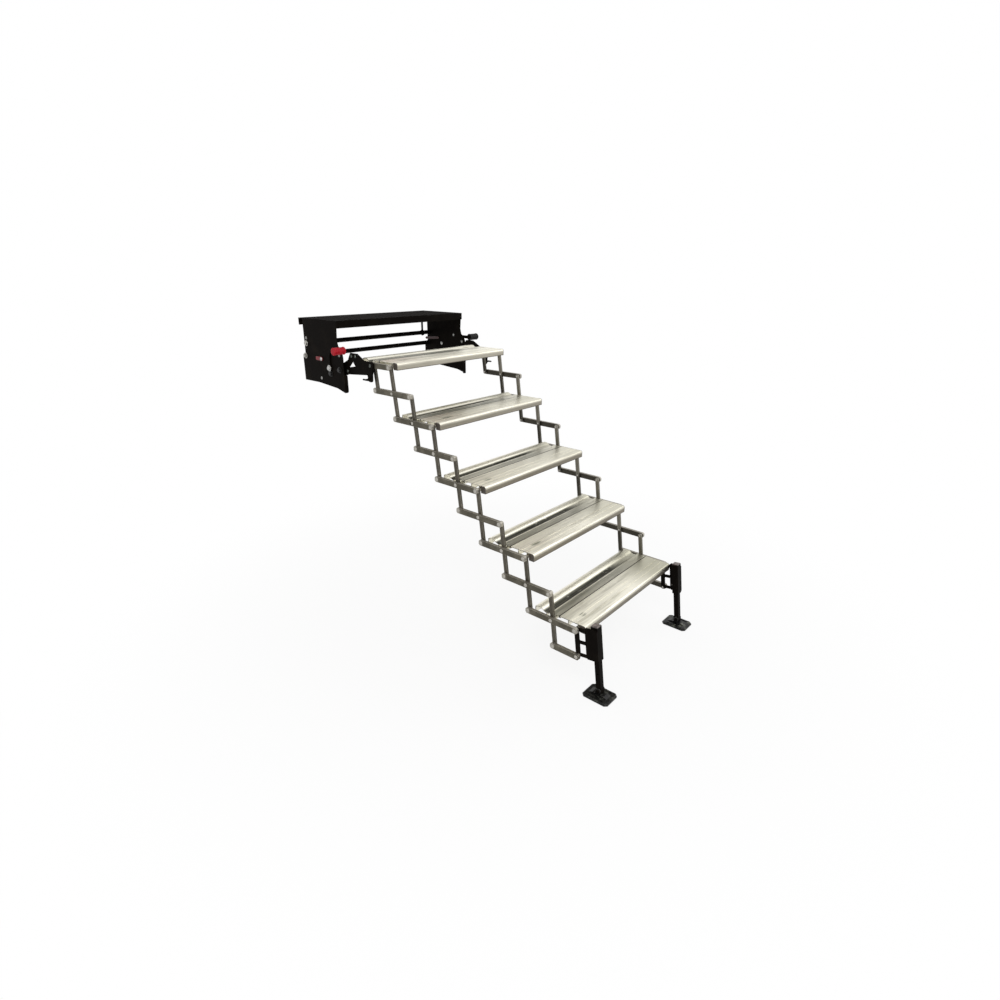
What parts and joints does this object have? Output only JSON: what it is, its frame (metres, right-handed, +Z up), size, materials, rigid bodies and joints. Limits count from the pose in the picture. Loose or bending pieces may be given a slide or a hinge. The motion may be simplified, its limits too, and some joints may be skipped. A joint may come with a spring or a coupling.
{
  "type": "folding rv entry step",
  "caption": "Folding entry step for a caravan door: treads on a scissor linkage, hung from a bolted mount and standing on adjustable legs.",
  "frame": {"origin": "centre of the mount's four-bolt pattern, on the upper face of the top channel", "axes": "+X along the treads, the steps descend towards -Y, +Z up"},
  "size_m": [0.8566, 1.6438, 1.2121],
  "materials": {
    "tread_alloy": "mill finish extrusion",
    "nose_trim": "moulded end cap",
    "link_alloy": "mill finish flat bar",
    "stud_steel": "zinc plated",
    "leg_steel": "black powder coat",
    "cap_plastic": "moulded plug",
    "foot_plastic": "hard moulding",
    "mount_steel": "black powder coat",
    "bolt_steel": "zinc plated",
    "red_grip": "soft moulded grip",
    "black_grip": "soft moulded grip",
    "red_lock": "gloss coat",
    "dark_red_lock": "gloss coat"
  },
  "bodies": {
    "mount": {"side_plates": "mount_steel", "top_channel": "mount_steel", "cross_rods": "mount_steel", "tie_strap": "mount_steel", "mount_bolts": "bolt_steel"},
    "carriage": {"swing_arms": "mount_steel", "tread_1": "tread_alloy", "nose_caps_1": "nose_trim", "tread_rails_1": "link_alloy", "pivot_studs_0": "stud_steel"},
    "riser_0": {"riser_links_0": "link_alloy"},
    "level_1": {"level_links_1": "link_alloy", "pivot_studs_1": "stud_steel"},
    "riser_1": {"riser_links_1": "link_alloy"},
    "level_2": {"tread_2": "tread_alloy", "nose_caps_2": "nose_trim", "tread_rails_2": "link_alloy", "pivot_studs_2": "stud_steel"},
    "riser_2": {"riser_links_2": "link_alloy"},
    "level_3": {"level_links_2": "link_alloy", "pivot_studs_3": "stud_steel"},
    "riser_3": {"riser_links_3": "link_alloy"},
    "level_4": {"tread_3": "tread_alloy", "nose_caps_3": "nose_trim", "tread_rails_3": "link_alloy", "pivot_studs_4": "stud_steel"},
    "riser_4": {"riser_links_4": "link_alloy"},
    "level_5": {"level_links_3": "link_alloy", "pivot_studs_5": "stud_steel"},
    "riser_5": {"riser_links_5": "link_alloy"},
    "level_6": {"tread_4": "tread_alloy", "nose_caps_4": "nose_trim", "tread_rails_4": "link_alloy", "pivot_studs_6": "stud_steel"},
    "riser_6": {"riser_links_6": "link_alloy"},
    "level_7": {"level_links_4": "link_alloy", "pivot_studs_7": "stud_steel"},
    "riser_7": {"riser_links_7": "link_alloy"},
    "level_8": {"tread_5": "tread_alloy", "nose_caps_5": "nose_trim", "tread_rails_5": "link_alloy", "pivot_studs_8": "stud_steel"},
    "riser_8": {"riser_links_8": "link_alloy"},
    "level_9": {"level_links_5": "link_alloy", "pivot_studs_9": "stud_steel"},
    "leg_frame": {"leg_brackets": "leg_steel", "leg_caps": "cap_plastic", "clamp_screws": "bolt_steel"},
    "left_leg": {"leg_tube_left": "leg_steel"},
    "left_foot": {"foot_left": "foot_plastic"},
    "left_latch": {"latch_lever_left": "mount_steel", "hand_grip_left": "red_grip"},
    "left_pull_pin": {"pull_pin_left": "mount_steel"},
    "right_leg": {"leg_tube_right": "leg_steel"},
    "right_foot": {"foot_right": "foot_plastic"},
    "right_latch": {"latch_lever_right": "mount_steel", "hand_grip_right": "black_grip"},
    "right_pull_pin": {"pull_pin_right": "mount_steel"},
    "tab": {"lock_tab": "red_lock"},
    "lock": {"lock_lever": "dark_red_lock"}
  },
  "joints": [
    {"name": "swing", "type": "hinge", "parent": "mount", "child": "carriage", "pos_m": [0, -0.128, -0.199], "axis": [-1, 0, 0], "range_deg": [0, 60]},
    {"name": "fold", "type": "hinge", "parent": "carriage", "child": "riser_0", "pos_m": [0, -0.312, -0.163], "axis": [1, 0, 0], "range_deg": [0, 83.2]},
    {"name": "level_1_turn", "type": "hinge", "parent": "riser_0", "child": "level_1", "pos_m": [0, -0.3262, -0.26401], "axis": [-1, 0, 0], "range_deg": [0, 83.2]},
    {"name": "riser_1_turn", "type": "hinge", "parent": "level_1", "child": "riser_1", "pos_m": [0, -0.4282, -0.26401], "axis": [1, 0, 0], "range_deg": [0, 83.2]},
    {"name": "level_2_turn", "type": "hinge", "parent": "riser_1", "child": "level_2", "pos_m": [0, -0.44239, -0.36501], "axis": [-1, 0, 0], "range_deg": [0, 83.2]},
    {"name": "riser_2_turn", "type": "hinge", "parent": "level_2", "child": "riser_2", "pos_m": [0, -0.54439, -0.36501], "axis": [1, 0, 0], "range_deg": [0, 83.2]},
    {"name": "level_3_turn", "type": "hinge", "parent": "riser_2", "child": "level_3", "pos_m": [0, -0.55859, -0.46602], "axis": [-1, 0, 0], "range_deg": [0, 83.2]},
    {"name": "riser_3_turn", "type": "hinge", "parent": "level_3", "child": "riser_3", "pos_m": [0, -0.66059, -0.46602], "axis": [1, 0, 0], "range_deg": [0, 83.2]},
    {"name": "level_4_turn", "type": "hinge", "parent": "riser_3", "child": "level_4", "pos_m": [0, -0.67478, -0.56703], "axis": [-1, 0, 0], "range_deg": [0, 83.2]},
    {"name": "riser_4_turn", "type": "hinge", "parent": "level_4", "child": "riser_4", "pos_m": [0, -0.77678, -0.56703], "axis": [1, 0, 0], "range_deg": [0, 83.2]},
    {"name": "level_5_turn", "type": "hinge", "parent": "riser_4", "child": "level_5", "pos_m": [0, -0.79098, -0.66804], "axis": [-1, 0, 0], "range_deg": [0, 83.2]},
    {"name": "riser_5_turn", "type": "hinge", "parent": "level_5", "child": "riser_5", "pos_m": [0, -0.89298, -0.66804], "axis": [1, 0, 0], "range_deg": [0, 83.2]},
    {"name": "level_6_turn", "type": "hinge", "parent": "riser_5", "child": "level_6", "pos_m": [0, -0.90717, -0.76904], "axis": [-1, 0, 0], "range_deg": [0, 83.2]},
    {"name": "riser_6_turn", "type": "hinge", "parent": "level_6", "child": "riser_6", "pos_m": [0, -1.00917, -0.76904], "axis": [1, 0, 0], "range_deg": [0, 83.2]},
    {"name": "level_7_turn", "type": "hinge", "parent": "riser_6", "child": "level_7", "pos_m": [0, -1.02337, -0.87005], "axis": [-1, 0, 0], "range_deg": [0, 83.2]},
    {"name": "riser_7_turn", "type": "hinge", "parent": "level_7", "child": "riser_7", "pos_m": [0, -1.12537, -0.87005], "axis": [1, 0, 0], "range_deg": [0, 83.2]},
    {"name": "level_8_turn", "type": "hinge", "parent": "riser_7", "child": "level_8", "pos_m": [0, -1.13956, -0.97106], "axis": [-1, 0, 0], "range_deg": [0, 83.2]},
    {"name": "riser_8_turn", "type": "hinge", "parent": "level_8", "child": "riser_8", "pos_m": [0, -1.24157, -0.97106], "axis": [1, 0, 0], "range_deg": [0, 83.2]},
    {"name": "level_9_turn", "type": "hinge", "parent": "riser_8", "child": "level_9", "pos_m": [0, -1.25576, -1.07207], "axis": [-1, 0, 0], "range_deg": [0, 83.2]},
    {"name": "leg_frame_turn", "type": "hinge", "parent": "level_8", "child": "leg_frame", "pos_m": [0, -1.34356, -0.97106], "axis": [1, 0, 0], "range_deg": [0, 83.2]},
    {"name": "left_leg_slide", "type": "slide", "parent": "leg_frame", "child": "left_leg", "axis": [0, -0.1392, -0.9903], "range_m": [-0.03, 0.05]},
    {"name": "left_foot_tilt", "type": "hinge", "parent": "left_leg", "child": "left_foot", "pos_m": [-0.3099, -1.44434, -1.18512], "axis": [1, 0, 0], "range_deg": [-20, 20]},
    {"name": "left_latch_turn", "type": "hinge", "parent": "mount", "child": "left_latch", "pos_m": [-0.3719, -0.062, -0.197], "axis": [-1, 0, 0], "range_deg": [0, 25], "stiffness_Nm_per_rad": 0.8, "springref_deg": -11.46},
    {"name": "left_pull_pin_slide", "type": "slide", "parent": "carriage", "child": "left_pull_pin", "axis": [-1, 0, 0], "range_m": [-0.01, 0]},
    {"name": "right_leg_slide", "type": "slide", "parent": "leg_frame", "child": "right_leg", "axis": [0, -0.1392, -0.9903], "range_m": [-0.03, 0.05]},
    {"name": "right_foot_tilt", "type": "hinge", "parent": "right_leg", "child": "right_foot", "pos_m": [0.3099, -1.44434, -1.18512], "axis": [1, 0, 0], "range_deg": [-20, 20]},
    {"name": "right_latch_turn", "type": "hinge", "parent": "mount", "child": "right_latch", "pos_m": [0.3719, -0.062, -0.197], "axis": [-1, 0, 0], "range_deg": [0, 25], "stiffness_Nm_per_rad": 0.8, "springref_deg": -11.46},
    {"name": "right_pull_pin_slide", "type": "slide", "parent": "carriage", "child": "right_pull_pin", "axis": [1, 0, 0], "range_m": [-0.01, 0]},
    {"name": "lock_tab_turn", "type": "hinge", "parent": "mount", "child": "tab", "pos_m": [-0.3713, -0.006, -0.163], "axis": [1, 0, 0], "range_deg": [0, 90]},
    {"name": "lock_lever_turn", "type": "hinge", "parent": "mount", "child": "lock", "pos_m": [0.3627, 0.035, -0.13], "axis": [1, 0, 0], "range_deg": [-5, 10]}
  ],
  "couplings": [
    {"joint": "level_1_turn", "follows": "fold", "ratio": 1},
    {"joint": "riser_1_turn", "follows": "fold", "ratio": 1},
    {"joint": "level_2_turn", "follows": "fold", "ratio": 1},
    {"joint": "riser_2_turn", "follows": "fold", "ratio": 1},
    {"joint": "level_3_turn", "follows": "fold", "ratio": 1},
    {"joint": "riser_3_turn", "follows": "fold", "ratio": 1},
    {"joint": "level_4_turn", "follows": "fold", "ratio": 1},
    {"joint": "riser_4_turn", "follows": "fold", "ratio": 1},
    {"joint": "level_5_turn", "follows": "fold", "ratio": 1},
    {"joint": "riser_5_turn", "follows": "fold", "ratio": 1},
    {"joint": "level_6_turn", "follows": "fold", "ratio": 1},
    {"joint": "riser_6_turn", "follows": "fold", "ratio": 1},
    {"joint": "level_7_turn", "follows": "fold", "ratio": 1},
    {"joint": "riser_7_turn", "follows": "fold", "ratio": 1},
    {"joint": "level_8_turn", "follows": "fold", "ratio": 1},
    {"joint": "riser_8_turn", "follows": "fold", "ratio": 1},
    {"joint": "level_9_turn", "follows": "fold", "ratio": 1},
    {"joint": "leg_frame_turn", "follows": "fold", "ratio": 1}
  ]
}
